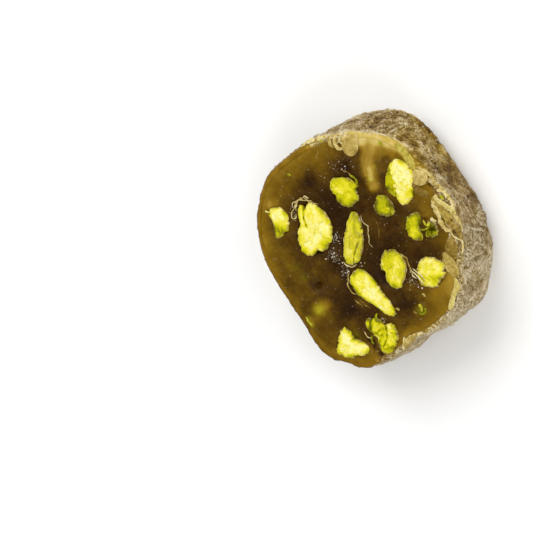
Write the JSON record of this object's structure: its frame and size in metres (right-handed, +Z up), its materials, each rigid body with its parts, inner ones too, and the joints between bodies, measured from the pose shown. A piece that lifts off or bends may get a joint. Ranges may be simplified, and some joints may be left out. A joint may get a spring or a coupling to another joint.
{
  "type": "turkish delight",
  "caption": "Cut half of a rounded block of turkish delight, dusted with starch, with pistachio kernels laid open in its dark cut face.",
  "frame": {"origin": "on the surface that the piece lies on, under the middle of the piece", "axes": "+Z up, out of the cut face; +X along the longer side of the rounded block"},
  "size_m": [0.0426, 0.0388, 0.0176],
  "materials": {
    "gel": "dark amber-brown starch gel, slightly translucent, softly glossy where cut",
    "starch_skin": "crinkled skin dusted with pale starch, matt, with fine cream creases over brown",
    "pistachio": "cut nut, pale yellow to bright green, finely fibrous"
  },
  "bodies": {
    "root": {"gel_block": "gel", "kernel_split": "pistachio", "kernel_long": "pistachio", "kernel_club": "pistachio", "kernel_pale": "pistachio", "kernel_lime": "pistachio", "kernel_diamond": "pistachio", "kernel_round": "pistachio", "kernel_heart": "pistachio", "kernel_side": "pistachio", "kernel_olive": "pistachio", "kernel_sunk": "pistachio", "kernel_crumb": "pistachio", "kernel_curled": "pistachio"}
  },
  "joints": []
}
